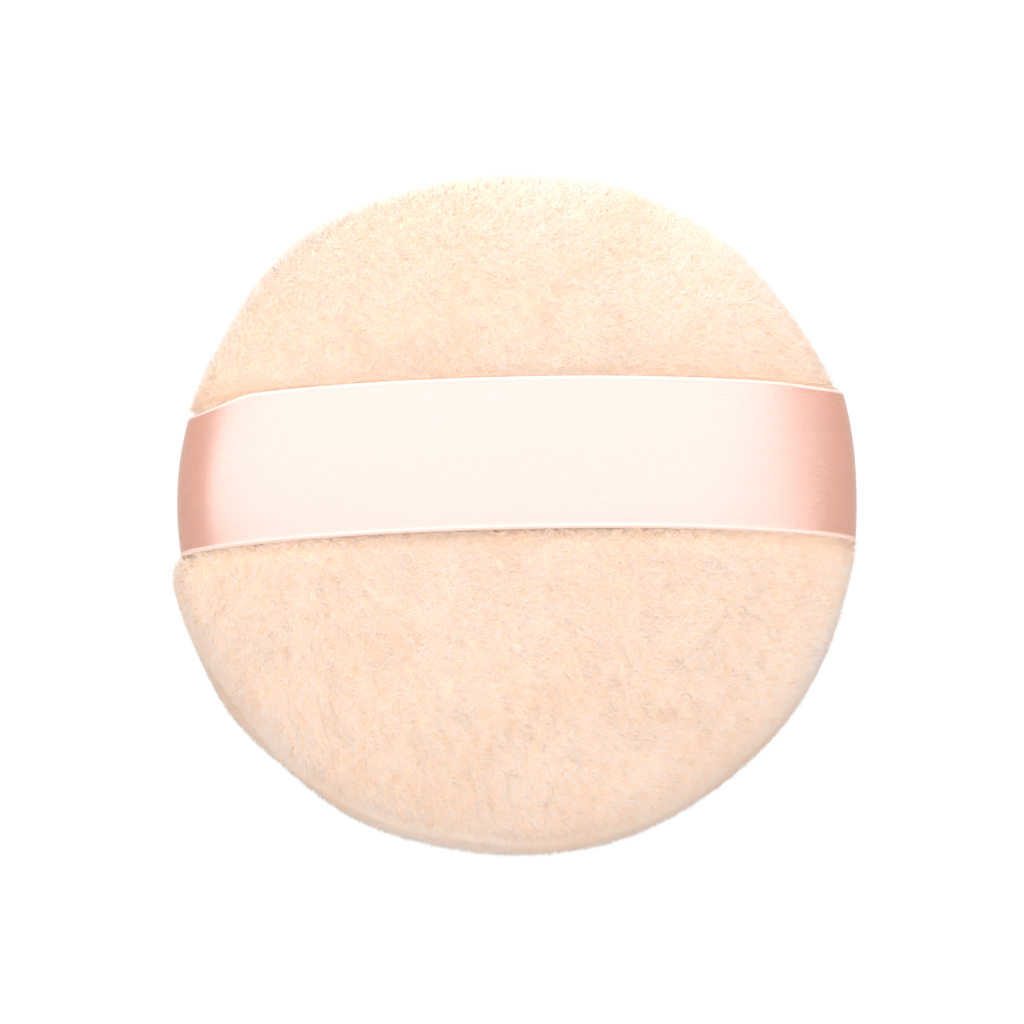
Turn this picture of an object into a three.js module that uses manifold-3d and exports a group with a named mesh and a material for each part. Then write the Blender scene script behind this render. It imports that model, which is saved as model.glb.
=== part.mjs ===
// A round powder puff lying on its face, in millimetres, +Z up, the ribbon along X. Two velour panels are sewn edge to
// edge round a sponge disc. A satin ribbon crosses the back as a finger strap, its tails caught in the side seams.
import * as THREE from "three";
import { mergeVertices } from "three/addons/utils/BufferGeometryUtils.js";
import { ParametricGeometry } from "three/addons/geometries/ParametricGeometry.js";
import Module from "manifold-3d";

// Pad
const padDiameter = 70;
const padThickness = 18;
const seamHeight = 8.5;
const rimRise = 2.8;
const domeFullness = 2.4;
const restCut = 0.5;

// Cloth and seam
const velourThickness = 3.2;
const seamTuck = 2.2;
const allowanceThickness = 1.2;
const clothGap = 0.3;

// Ribbon
const ribbonWidth = 16;
const ribbonThickness = 0.3;
const ribbonOffset = 3.3;
const ribbonBow = 0.95;
const ribbonPress = 1;
const ribbonDrawIn = 1.4;
const ribbonMargin = 1.9;
const troughSlope = 3.6;
const drawInReach = 21;
const partingReach = 5.6;
const tailHem = 0.9;

// Stitches
const stitchCount = 24;
const closingStitches = 6;
const tackStitches = 3;
const threadRadius = 0.2;
const stitchHoleRadius = 1;
const tackLength = 12;

// Sizes that follow
const padRadius = padDiameter / 2;
const rimTop = seamHeight + rimRise;
const rimBottom = seamHeight - rimRise;
const backRise = padThickness - rimTop;
const faceDrop = rimBottom + restCut;
const seamRadius = padRadius - seamTuck;
const innerRadius = padRadius - velourThickness;
const stitchRadius = innerRadius - clothGap - stitchHoleRadius;
const tackRadius = stitchRadius - 2 * stitchHoleRadius - clothGap;
const tailLength = seamRadius - tackRadius + stitchHoleRadius + tailHem;
const allowanceTip = seamRadius - tailLength - clothGap;
const ribbonStandOff = clothGap + ribbonThickness / 2;
const ribbonParting = ribbonStandOff - clothGap / 2;
const threadLine = clothGap / 2 + allowanceThickness + clothGap + threadRadius;
const threadTop = threadLine + threadRadius;
const grooveHalf = threadTop + ribbonParting + clothGap;
const stitchPitch = (2 * Math.PI) / stitchCount;
const panelFacets = 38;
const holeFacets = 5;
const stepsPerStitch = 8;
const stepCrowding = 0.8;

const wasm = await Module();
wasm.setup();

const { smoothstep, lerp, clamp } = THREE.MathUtils;

// Closed solid of a geometry, and back again.
function solidOf(geometry) {
  const bare = geometry.clone();
  bare.deleteAttribute("normal");
  bare.deleteAttribute("uv");
  const welded = mergeVertices(bare, 1e-4);
  const mesh = new wasm.Mesh({
    numProp: 3,
    vertProperties: Float32Array.from(welded.attributes.position.array),
    triVerts: Uint32Array.from(welded.index.array),
  });
  return new wasm.Manifold(mesh);
}

function geometryOf(solid) {
  const mesh = solid.getMesh();
  const geometry = new THREE.BufferGeometry();
  geometry.setAttribute("position", new THREE.BufferAttribute(Float32Array.from(mesh.vertProperties), 3));
  geometry.setIndex(new THREE.BufferAttribute(Uint32Array.from(mesh.triVerts), 1));
  geometry.computeVertexNormals();
  return geometry;
}

// Middle of the ribbon in plan: it slips a little up the dome between its two sewn ends.
function ribbonLine(x) {
  const share = clamp(x / padRadius, -1, 1);
  return ribbonOffset + ribbonBow * (1 - share * share);
}

// How fully the ribbon bears on the pad at a place in plan: 1 under it, 0 clear of its trough.
function ribbonHold(x, y) {
  const edge = ribbonWidth / 2 + ribbonMargin;
  return 1 - smoothstep(Math.abs(y - ribbonLine(x)), edge, edge + troughSlope);
}

// Moves a point of the plain round pad to where the taut ribbon holds it: pressed down on the back, drawn in at the
// side, and parted at the seam by the ribbon's tail (parting is +1 above the tail, -1 below it, 0 for the rest).
function heldPoint(point, parting) {
  const hold = ribbonHold(point.x, point.y);
  const height = point.z - seamHeight;
  const nearSeam = 1 - smoothstep(Math.abs(height), threadTop, threadTop + partingReach);
  const raised = smoothstep(height, rimRise, padThickness - seamHeight);
  const outward = smoothstep(Math.hypot(point.x, point.y), padRadius - drawInReach, padRadius);
  point.z += hold * (parting * ribbonParting * nearSeam - ribbonPress * raised);
  point.x -= Math.sign(point.x) * hold * outward * ribbonDrawIn;
  return point;
}

function held(geometry, parting = 0) {
  const position = geometry.attributes.position;
  const point = new THREE.Vector3();
  for (let i = 0; i < position.count; i += 1) {
    heldPoint(point.fromBufferAttribute(position, i), parting);
    position.setXYZ(i, point.x, point.y, point.z);
  }
  return geometry;
}

// Height of a dome above its rim, as a share of its rise, at a share of its radius.
function domeShare(share) {
  return Math.pow(Math.max(0, 1 - Math.pow(share, domeFullness)), 1 / domeFullness);
}

// Rounded dome from the axis to its rim, with a rise up or down from the rim.
function domePoints(radius, rimZ, rise, steps) {
  const points = [];
  for (let i = 0; i <= steps; i += 1) {
    const share = i === steps ? 1 : Math.sin((i / steps) * (Math.PI / 2));
    points.push(new THREE.Vector2(radius * share, rimZ + rise * domeShare(share)));
  }
  return points;
}

// Rim of a panel rolling in to the seam: a quarter of an ellipse, without its first point.
function rollPoints(rimZ, seamZ, steps) {
  const points = [];
  for (let i = 1; i <= steps; i += 1) {
    const turn = (i / steps) * (Math.PI / 2);
    points.push(new THREE.Vector2(padRadius - seamTuck * (1 - Math.cos(turn)), lerp(rimZ, seamZ, Math.sin(turn))));
  }
  return points;
}

// Turns a profile round Z, with more of the facets at the two ribbon ends.
function turned(profile, segments) {
  const geometry = new THREE.LatheGeometry(profile, segments);
  geometry.rotateX(Math.PI / 2);
  const position = geometry.attributes.position;
  for (let i = 0; i < position.count; i += 1) {
    const radius = Math.hypot(position.getX(i), position.getY(i));
    const angle = Math.atan2(position.getY(i), position.getX(i));
    const eased = angle - 0.2 * Math.sin(2 * angle);
    position.setXYZ(i, radius * Math.cos(eased), radius * Math.sin(eased), position.getZ(i));
  }
  return geometry;
}

// One velour panel: outer dome, rolled rim, seam allowance turned in, inner dome. Side is +1 for the back, -1 the face.
function panelGeometry(side) {
  const rimZ = side > 0 ? rimTop : rimBottom;
  const rise = side > 0 ? backRise : -faceDrop;
  const seamZ = seamHeight + side * (clothGap / 2);
  const allowanceZ = seamZ + side * allowanceThickness;
  const outer = domePoints(padRadius, rimZ, rise, 10);
  if (side < 0) {
    const flatRadius = padRadius * domeShare(1 - restCut / faceDrop);
    const rest = outer.filter((point) => point.x > flatRadius && point.y > 0);
    outer.splice(0, outer.length, new THREE.Vector2(0, 0), new THREE.Vector2(flatRadius, 0), ...rest);
  }
  const inner = domePoints(innerRadius, rimZ, rise - side * velourThickness, 5).reverse();
  const profile = [
    ...outer,
    ...rollPoints(rimZ, seamZ, 3),
    new THREE.Vector2(allowanceTip, seamZ),
    new THREE.Vector2(allowanceTip, allowanceZ),
    new THREE.Vector2(innerRadius, allowanceZ),
    ...inner,
  ];
  return held(turned(side > 0 ? profile.reverse() : profile, panelFacets), side);
}

// Sponge disc: fills both panels and is grooved round its edge where the seam allowances press in.
function coreGeometry() {
  const radius = innerRadius - clothGap;
  const grooveRadius = allowanceTip - clothGap;
  const upper = domePoints(radius, rimTop, backRise - velourThickness - clothGap, 5);
  const lower = domePoints(radius, rimBottom, -(faceDrop - velourThickness - clothGap), 5).reverse();
  const profile = [
    ...upper,
    new THREE.Vector2(radius, seamHeight + grooveHalf),
    new THREE.Vector2(grooveRadius, seamHeight + grooveHalf),
    new THREE.Vector2(grooveRadius, seamHeight - grooveHalf),
    new THREE.Vector2(radius, seamHeight - grooveHalf),
    ...lower,
  ];
  return held(turned(profile.reverse(), panelFacets));
}

// Middle surface of the ribbon on the plain pad: run goes from -1 at the left tail's end through 0 on the crown to +1,
// across is the distance from its middle line.
const domePart = 0.72;
const rollPart = 0.88;

function ribbonMiddle(run, across) {
  const way = Math.abs(run);
  const sine = Math.sin((Math.min(way, domePart) / domePart) * (Math.PI / 2));
  const reach = padRadius + ribbonStandOff;
  const y = ribbonLine(Math.sign(run) * padRadius * sine) + across;
  const halfChord = Math.sqrt(reach * reach - y * y);
  let x = halfChord * sine;
  let z = rimTop + (backRise + ribbonStandOff) * domeShare(Math.hypot(x, y) / reach);
  if (way > domePart) {
    const turn = clamp((way - domePart) / (rollPart - domePart), 0, 1) * (Math.PI / 2);
    const tail = Math.max(0, (way - rollPart) / (1 - rollPart));
    x = halfChord - (seamTuck + ribbonStandOff) * (1 - Math.cos(turn)) - tailLength * tail;
    z = lerp(rimTop, seamHeight, Math.sin(turn));
  }
  return new THREE.Vector3(Math.sign(run) * x, y, z);
}

// How far the ribbon shares the back panel's lift off the seam: fully on the dome, not at all at the tail.
function ribbonParted(run) {
  const turn = clamp((Math.abs(run) - domePart) / (rollPart - domePart), 0, 1) * (Math.PI / 2);
  return 1 - Math.sin(turn);
}

// The ribbon as a closed thin band: the section runs across its top and back along its underside.
function ribbonGeometry() {
  const runSteps = 52;
  const acrossSteps = 5;
  const sides = 2 * (acrossSteps + 1);
  const surface = (u, v, target) => {
    const step = clamp((u * (runSteps + 2) - 1) / runSteps, 0, 1);
    const run = 2 * step - 1;
    const place = Math.round(v * sides) % sides;
    const top = place <= acrossSteps;
    const share = (top ? place : sides - 1 - place) / acrossSteps;
    const across = lerp(-ribbonWidth / 2, ribbonWidth / 2, share);
    const middle = ribbonMiddle(run, across);
    const ahead = ribbonMiddle(Math.min(1, run + 1e-3), across);
    const behind = ribbonMiddle(Math.max(-1, run - 1e-3), across);
    const normal = new THREE.Vector3(behind.z - ahead.z, 0, ahead.x - behind.x).normalize();
    const capped = u < 0.5 / (runSteps + 2) || u > 1 - 0.5 / (runSteps + 2);
    const offset = capped ? 0 : (top ? 1 : -1) * (ribbonThickness / 2);
    heldPoint(target.copy(middle).addScaledVector(normal, offset), ribbonParted(run));
  };
  return new ParametricGeometry(surface, runSteps + 2, sides);
}

// A thread sewn round an arc of the seam. A lock stitch stays on one side, +1 above or -1 below, and dips into each
// hole; a running stitch, side 0, goes from one side to the other through each hole.
class SeamCurve extends THREE.Curve {
  constructor(radius, start, pitch, stitches, side) {
    super();
    Object.assign(this, { radius, start, pitch, stitches, side });
  }

  // Steps follow the stitches and crowd towards the holes.
  getUtoTmapping(u) {
    return u;
  }

  getPoint(t, target = new THREE.Vector3()) {
    const even = 2 * Math.PI * t * this.stitches;
    const place = (even - stepCrowding * Math.sin(even)) / (2 * Math.PI);
    const angle = this.start + place * this.pitch;
    const fromHole = (place - Math.round(place)) * this.pitch * this.radius;
    const room = stitchHoleRadius * Math.cos(Math.PI / holeFacets) - threadRadius - clothGap;
    target.set(this.radius * Math.cos(angle), this.radius * Math.sin(angle), seamHeight);
    if (this.side === 0) {
      const swing = smoothstep(fromHole, -room, room) * 2 - 1;
      const reach = threadLine + ribbonParting * ribbonHold(target.x, target.y);
      target.z += (Math.round(place) % 2 === 0 ? 1 : -1) * swing * reach;
    } else {
      const meet = threadRadius + clothGap / 2;
      target.z += this.side * lerp(meet, threadLine, smoothstep(Math.abs(fromHole), 0, room));
    }
    return heldPoint(target, this.side);
  }
}

function threadGeometry(curve) {
  const section = new THREE.Shape();
  for (let i = 0; i < 4; i += 1) {
    const angle = (i / 4) * 2 * Math.PI;
    const draw = i === 0 ? section.moveTo : section.lineTo;
    draw.call(section, threadRadius * Math.cos(angle), threadRadius * Math.sin(angle));
  }
  section.closePath();
  return new THREE.ExtrudeGeometry(section, {
    steps: curve.stitches * stepsPerStitch,
    bevelEnabled: false,
    extrudePath: curve,
  });
}

// Stitch holes: one round the seam per stitch, and a row through each ribbon tail.
function holeCutter(radius, angle) {
  const cutter = new THREE.CylinderGeometry(stitchHoleRadius, stitchHoleRadius, 2 * grooveHalf, holeFacets);
  cutter.rotateX(Math.PI / 2);
  cutter.rotateZ(angle + Math.PI / 2);
  const place = new THREE.Vector3(radius * Math.cos(angle), radius * Math.sin(angle), seamHeight);
  heldPoint(place, 0);
  cutter.translate(place.x, place.y, seamHeight);
  return solidOf(cutter);
}

const tackHalfAngle = tackLength / 2 / tackRadius;
const tackPitch = (2 * tackHalfAngle) / tackStitches;
const tackMiddle = Math.asin(ribbonOffset / tackRadius);
const rightTackStart = tackMiddle - tackHalfAngle;
const leftTackStart = Math.PI - tackMiddle - tackHalfAngle;

const seamHoles = [];
for (let i = 0; i < stitchCount; i += 1) {
  seamHoles.push(holeCutter(stitchRadius, (i + 0.5) * stitchPitch));
}
const tackHoles = [];
for (let i = 0; i <= tackStitches; i += 1) {
  tackHoles.push(holeCutter(tackRadius, rightTackStart + i * tackPitch));
  tackHoles.push(holeCutter(tackRadius, leftTackStart + i * tackPitch));
}

function pierced(geometry) {
  let solid = solidOf(geometry);
  for (const hole of [...seamHoles, ...tackHoles]) {
    solid = solid.subtract(hole);
  }
  return geometryOf(solid);
}

// The machine seam runs from one end of the turning gap, at the far side, round to the other; the hand stitch closes it.
const closingStart = (Math.round(stitchCount / 4 - closingStitches / 2) + 0.5) * stitchPitch;
const machineStart = closingStart + (closingStitches + 1) * stitchPitch;
const machineStitches = stitchCount - closingStitches - 2;

// Materials
const velour = { color: 0xf8dcc4, roughness: 0.95, metalness: 0 };
const sponge = { color: 0xf3e6c8, roughness: 1, metalness: 0 };
const satin = { color: 0xe9bcaa, roughness: 0.35, metalness: 0 };
const thread = { color: 0xf1d3bf, roughness: 0.7, metalness: 0 };

const puff = new THREE.Group();
puff.name = "powder_puff";

function addPiece(name, geometry, look) {
  const mesh = new THREE.Mesh(geometry, new THREE.MeshStandardMaterial(look));
  mesh.name = name;
  puff.add(mesh);
}

function addThread(name, radius, start, pitch, stitches, side) {
  addPiece(name, threadGeometry(new SeamCurve(radius, start, pitch, stitches, side)), thread);
}

addPiece("back_panel", pierced(panelGeometry(1)), velour);
addPiece("face_panel", pierced(panelGeometry(-1)), velour);
addPiece("sponge_core", coreGeometry(), sponge);
addPiece("ribbon", pierced(ribbonGeometry()), satin);
addThread("needle_thread", stitchRadius, machineStart, stitchPitch, machineStitches, 1);
addThread("bobbin_thread", stitchRadius, machineStart, stitchPitch, machineStitches, -1);
addThread("closing_thread", stitchRadius, closingStart, stitchPitch, closingStitches, 0);
addThread("left_ribbon_tack", tackRadius, leftTackStart, tackPitch, tackStitches, 0);
addThread("right_ribbon_tack", tackRadius, rightTackStart, tackPitch, tackStitches, 0);

export default puff;
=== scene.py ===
"""Powder puff: a round velour pad with a satin finger ribbon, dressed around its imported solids. Metres, +Z up."""

import math

import bmesh
import bpy
import numpy as np
from bpy.props import FloatProperty, FloatVectorProperty, IntProperty, PointerProperty
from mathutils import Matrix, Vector


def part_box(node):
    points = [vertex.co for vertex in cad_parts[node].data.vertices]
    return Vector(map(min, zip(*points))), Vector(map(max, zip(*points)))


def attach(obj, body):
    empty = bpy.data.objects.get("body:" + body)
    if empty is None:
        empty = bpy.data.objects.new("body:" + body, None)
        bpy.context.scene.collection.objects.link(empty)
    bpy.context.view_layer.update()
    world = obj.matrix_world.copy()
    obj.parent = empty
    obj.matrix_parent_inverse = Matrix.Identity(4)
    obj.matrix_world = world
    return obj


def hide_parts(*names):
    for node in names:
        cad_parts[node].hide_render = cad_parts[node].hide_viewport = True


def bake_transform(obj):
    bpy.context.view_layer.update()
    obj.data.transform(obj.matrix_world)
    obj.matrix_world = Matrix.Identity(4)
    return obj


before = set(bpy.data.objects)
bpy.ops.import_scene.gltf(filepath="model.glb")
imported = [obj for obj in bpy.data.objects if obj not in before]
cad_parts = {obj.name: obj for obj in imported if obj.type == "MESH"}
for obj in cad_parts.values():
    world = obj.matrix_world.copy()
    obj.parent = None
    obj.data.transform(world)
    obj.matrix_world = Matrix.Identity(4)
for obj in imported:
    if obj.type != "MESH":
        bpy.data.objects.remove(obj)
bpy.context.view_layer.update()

bl_info = {
    "name": "Powder Puff",
    "version": (1, 0, 0),
    "blender": (4, 5, 0),
    "location": "3D View > Sidebar > Puff",
    "description": "Dresses a velour powder puff and its satin finger ribbon",
    "category": "Object",
}

BACK_LOW, BACK_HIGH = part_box("back_panel")
TIP_THIN = 0.0003
PAD_RADIUS = (BACK_HIGH.y - BACK_LOW.y) / 2 - TIP_THIN
THREADS = ("needle_thread", "bobbin_thread", "closing_thread", "left_ribbon_tack", "right_ribbon_tack")
STRAND_MAP = "OFBake"


# Settings

def length(name, description, default):
    """A length property, in metres."""
    return FloatProperty(name=name, description=description, default=default, unit="LENGTH", precision=5)


def colour(name, description, default):
    """A linear colour property."""
    return FloatVectorProperty(
        name=name, description=description, default=default, subtype="COLOR", size=3, min=0, max=1
    )


def share(name, description, default):
    """A plain number that has no unit."""
    return FloatProperty(name=name, description=description, default=default, precision=4)


def amount(name, description, default):
    """A number of things."""
    return IntProperty(name=name, description=description, default=default)


def watts(name, description, default):
    """The power of a lamp."""
    return FloatProperty(name=name, description=description, default=default, unit="POWER", precision=4)


class PuffPad(bpy.types.PropertyGroup):
    """Sizes of the stuffed pad."""
    radius: length("Radius", "Pad radius where the tips of its pile thin out", PAD_RADIUS)
    thickness: length("Thickness", "Height of the crown above the table", 0.018)
    seam_height: length("Seam height", "Height of the side seam", 0.0085)
    rim_rise: length("Rim rise", "Height of the widest ring above and below the seam", 0.0028)
    rest_cut: length("Rest cut", "How much of the lower dome the table flattens", 0.0005)
    seam_tuck: length("Seam tuck", "How far the pile surface rolls in to the seam", 0.0022)
    flat: length("Flat", "How far the lower left of the rim is flattened", 0.0004)
    fullness: share("Fullness", "Power of the dome's profile; 2 is an ellipse and more is fuller", 2.4)
    lopsided: share("Lopsided", "Share by which the dome is fuller at its left end than in the middle", 0.12)
    cloth: length("Cloth", "Thickness of the ground cloth", 0.0008)
    allowance: length("Allowance", "Width of the seam allowance turned in", 0.0062)
    unevenness: length("Unevenness", "Soft waviness of a stuffed pad", 0.00016)
    swell_cap: length("Swell cap", "Furthest that the cloth simulation may move a point", 0.0009)


class PuffPile(bpy.types.PropertyGroup):
    """The cut pile of the velour."""
    depth: length("Depth", "Height of the pile above its ground cloth", 0.0008)
    width: length("Strand width", "Radius of a strand at its root", 0.000065)
    lean: share("Lean", "Sideways share of a strand's direction along the nap", 0.7)
    jitter: share("Jitter", "Sideways share of a strand's own direction", 1.3)
    gather: length("Gather", "How far tips draw together in tufts", 0.0003)
    back_pieces: amount("Back pieces", "Pieces that the back's pile is divided into", 4)
    face_pieces: amount("Face pieces", "Pieces that the face's pile is divided into", 3)
    strands: amount("Strands", "Strands in one piece of pile", 48000)
    proud: amount("Proud strands", "Crown strands of a panel that shade the rest", 5000)


class PuffRibbon(bpy.types.PropertyGroup):
    """The satin finger ribbon and the trough that it presses into the pad."""
    width: length("Width", "Ribbon width", 0.0158)
    thickness: length("Thickness", "Ribbon thickness", 0.0003)
    offset: length("Offset", "How far above the middle of the pad the ribbon is sewn", 0.0032)
    bow: length("Bow", "How far the ribbon's middle slips up the dome", 0.00095)
    press: length("Press", "How deep the ribbon presses the crown", 0.001)
    draw_left: length("Left draw in", "How far the ribbon draws the rim in at its left end", 0.0014)
    draw_right: length("Right draw in", "How far the ribbon draws the rim in at its right end", 0.00035)
    draw_reach: length("Draw reach", "How far in from the rim the drawing in begins", 0.021)
    margin: length("Margin", "Pressed width beside the ribbon", 0.0003)
    slope: length("Slope", "Width over which the pressed pile rises again", 0.008)
    pinch: length("Pinch", "Width beside the ribbon's ends over which the rim comes out again", 0.0012)
    ease: length("Ease", "Width over which the rim above the left end comes out again", 0.012)
    stand_off: length("Stand off", "Middle of the ribbon above the pile surface", 0.00024)
    parting: length("Parting", "How far the tail parts the panels at the seam", 0.0003)
    parting_start: length("Parting start", "Height off the seam over which the parting is full", 0.00205)
    parting_reach: length("Parting reach", "Height over which the parting fades", 0.0056)
    tail: length("Tail", "Length of ribbon caught inside the seam", 0.0065)
    left_tuck: length("Left tuck", "How far the upper left corner is drawn down where it is sewn", 0.0015)
    right_tuck: length("Right tuck", "How far the upper right corner is drawn down where it is sewn", 0.0003)
    left_straight: share("Left straightness", "How straight the left end keeps across the rim's curve", 0.05)
    right_straight: share("Right straightness", "How straight the right end keeps across the rim's curve", 0.3)
    selvedge: length("Selvedge", "Width of the firm woven edge", 0.0004)


class PuffColours(bpy.types.PropertyGroup):
    """Linear colours of the finishes."""
    pile_tip: colour("Pile tip", "Velour at the tips of its pile", (0.865, 0.78, 0.735))
    pile_root: colour("Pile root", "Velour deep in its pile", (0.915, 0.665, 0.5))
    ground: colour("Ground", "Ground cloth under the pile", (0.89, 0.675, 0.5))
    satin: colour("Satin", "Satin floats of the ribbon", (0.485, 0.197, 0.101))
    # A real woven edge, whose paleness is partly a painted highlight along the ribbon's edges
    selvedge: colour("Selvedge", "Firm woven edges of the ribbon", (0.75, 0.5, 0.42))
    foam: colour("Foam", "Sponge filling", (0.9, 0.79, 0.58))
    thread: colour("Thread", "Sewing thread", (0.88, 0.65, 0.52))
    floor: colour("Floor", "Table top", (0.9, 0.9, 0.9))


class PuffStage(bpy.types.PropertyGroup):
    """Camera and light."""
    azimuth: share("Azimuth", "Degrees that the camera stands round from the front", -1.43)
    elevation: share("Elevation", "Degrees that the camera stands above the table", 77.0)
    distance: length("Distance", "Camera to the middle of the pad", 0.9)
    frame_width: length("Frame width", "Width of the picture at the pad", 0.1033)
    aim_height: length("Aim height", "Height of the point that the camera looks at", 0.0087)
    key_power: watts("Key power", "Watts of the softbox overhead", 1.8)
    key_tilt: share("Key tilt", "Degrees that the softbox leans towards the far side", 17.0)
    key_width: length("Key width", "Side of the softbox along the ribbon", 0.71)
    key_depth: length("Key depth", "Side of the softbox across the ribbon", 0.29)
    key_height: length("Key height", "Softbox to the pad", 0.6)
    key_shift: length("Key shift", "How far the softbox stands to the right", -0.02)
    back_power: watts("Back power", "Watts of the low light at the far side", 0.64)
    front_power: watts("Front power", "Watts of the low light at the near side", 1.7)
    fill: share("Fill", "Strength of the even light from all round", 0.42)
    floor_white: share("Floor white", "Share of the floor that shows plain white", 0.93)


class PuffSettings(bpy.types.PropertyGroup):
    """All settings of the powder puff."""
    pad: PointerProperty(type=PuffPad)
    pile: PointerProperty(type=PuffPile)
    ribbon: PointerProperty(type=PuffRibbon)
    colours: PointerProperty(type=PuffColours)
    stage: PointerProperty(type=PuffStage)


# Node materials

class Value:
    """A shader socket that takes part in Python arithmetic; each operation adds one Math node."""

    def __init__(self, finish, socket):
        self.finish = finish
        self.socket = socket

    def join(self, operation, first, second=0.0):
        return self.finish.node("Math", {"operation": operation}, {0: first, 1: second})

    def __add__(self, other):
        return self.join("ADD", self, other)

    def __sub__(self, other):
        return self.join("SUBTRACT", self, other)

    def __rsub__(self, other):
        return self.join("SUBTRACT", other, self)

    def __mul__(self, other):
        return self.join("MULTIPLY", self, other)

    def __abs__(self):
        return self.join("ABSOLUTE", self)

    __radd__, __rmul__ = __add__, __mul__


class Finish:
    """The nodes of a material or a world in the making."""

    def __init__(self, owner):
        self.owner = owner
        owner.use_nodes = True
        self.tree = owner.node_tree
        self.tree.nodes.clear()

    def node(self, kind, settings=None, sockets=None, output=0):
        """Adds a shader node of that kind, sets its settings first and then the values or links of its sockets."""
        node = self.tree.nodes.new(f"ShaderNode{kind}")
        for key, value in (settings or {}).items():
            setattr(node, key, value)
        for key, value in (sockets or {}).items():
            if isinstance(value, Value):
                self.tree.links.new(value.socket, node.inputs[key])
            else:
                node.inputs[key].default_value = value
        return Value(self, node.outputs[output]) if len(node.outputs) else None

    def mix(self, factor, first, second):
        """Colour between two colours, by the colour sockets of a Mix node."""
        ends = {0: factor, 6: tone(first), 7: tone(second)}
        return self.node("Mix", {"data_type": "RGBA", "clamp_factor": True}, ends, output=2)

    def step(self, value, low, high):
        """Smooth rise from 0 at low to 1 at high."""
        ends = {"Value": value, "From Min": low, "From Max": high}
        return self.node("MapRange", {"interpolation_type": "SMOOTHSTEP"}, ends)

    def place(self):
        """Place on the object."""
        return self.node("TexCoord", output="Object")

    def mapped(self):
        """The two parts of the strand map."""
        spot = self.node("UVMap", {"uv_map": STRAND_MAP})
        return [self.node("SeparateXYZ", {}, {0: spot}, output=axis) for axis in "XY"]

    def noise(self, vector, scale, detail=2.0):
        """Noise from 0 to 1 on a vector."""
        return self.node("TexNoise", {}, {"Vector": vector, "Scale": scale, "Detail": detail})

    def cells(self, vector, scale):
        """Distance to the nearest of scattered points."""
        return self.node("TexVoronoi", {"feature": "F1"}, {"Vector": vector, "Scale": scale})

    def wave(self, vector, direction, scale, distortion):
        """Bands from 0 to 1 along a direction."""
        bands = {"Vector": vector, "Scale": scale, "Distortion": distortion}
        return self.node("TexWave", {"bands_direction": direction}, bands)

    def stretched(self, vector, scale):
        """A vector with each axis scaled by its own number."""
        return self.node("Mapping", {}, {"Vector": vector, "Scale": scale})

    def bump(self, height, strength, distance):
        """Normal from a height."""
        return self.node("Bump", {}, {"Height": height, "Strength": strength, "Distance": distance})

    def principled(self, **sockets):
        """Ends the material in a Principled shader; names take spaces for underscores."""
        plain = {key.replace("_", " "): tone(value) for key, value in sockets.items()}
        shader = self.node("BsdfPrincipled", {}, plain)
        self.node("OutputMaterial", {}, {"Surface": shader})
        return self.owner

    def seen(self):
        """1 for what the camera, a reflection or a view through sees, and 0 for light on a surface."""
        glossy = self.node("LightPath", output="Is Glossy Ray")
        through = self.node("LightPath", output="Is Transmission Ray")
        camera = self.node("LightPath", output="Is Camera Ray")
        return camera.join("MAXIMUM", camera, glossy.join("MAXIMUM", glossy, through))


def tone(value):
    """A three-part colour with its alpha; any other value as it is."""
    if isinstance(value, (Value, float, int)):
        return value
    value = tuple(value)
    return (*value, 1.0) if len(value) == 3 else value


def shaded(paint, factor):
    """A colour made paler or deeper by a factor, up to 1."""
    return [min(1.0, factor * part) for part in paint]


DEEP_ROOT, DULL_SHARE = (0.98, 0.93, 0.86), 0.7


def pile_finish(colours):
    """Velour pile: each strand goes from a deep peach root to a pale tip, and strands differ a little in shade."""
    finish = Finish(bpy.data.materials.new("velour_pile"))
    along, shade = finish.mapped()
    body = finish.mix(finish.step(along, 0.0, 0.9), colours.pile_root, colours.pile_tip)
    deep = [part * less for part, less in zip(colours.pile_root, DEEP_ROOT)]
    dull = finish.mix(DULL_SHARE, body, deep)
    return finish.principled(
        # Low shade takes the deeper, duller colour: random tone, and painted shade round the rim and beside the ribbon
        Base_Color=finish.mix(finish.step(shade, 0.0, 0.75), dull, body),
        Roughness=0.85 - 0.1 * along,
        Sheen_Weight=0.8,
        Sheen_Roughness=0.4,
        Sheen_Tint=(1.0, 0.88, 0.78),
        Specular_IOR_Level=0.2,
    )


def ground_finish(colours):
    """Ground cloth: a slightly mottled peach knit, with its loops as cells in the bump."""
    finish = Finish(bpy.data.materials.new("velour_ground"))
    place = finish.place()
    mottle = finish.noise(place, scale=420.0, detail=3.0)
    return finish.principled(
        Base_Color=finish.mix(finish.step(mottle, 0.3, 0.7), colours.ground, shaded(colours.ground, 1.08)),
        Roughness=0.88 + 0.1 * mottle,
        Specular_IOR_Level=0.2,
        Normal=finish.bump(finish.cells(place, scale=2600.0), strength=0.5, distance=0.0001),
    )


FLOAT_GRAIN, SLUB_GRAIN = (900.0, 5200.0, 1.0), (70.0, 900.0, 1.0)


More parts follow.
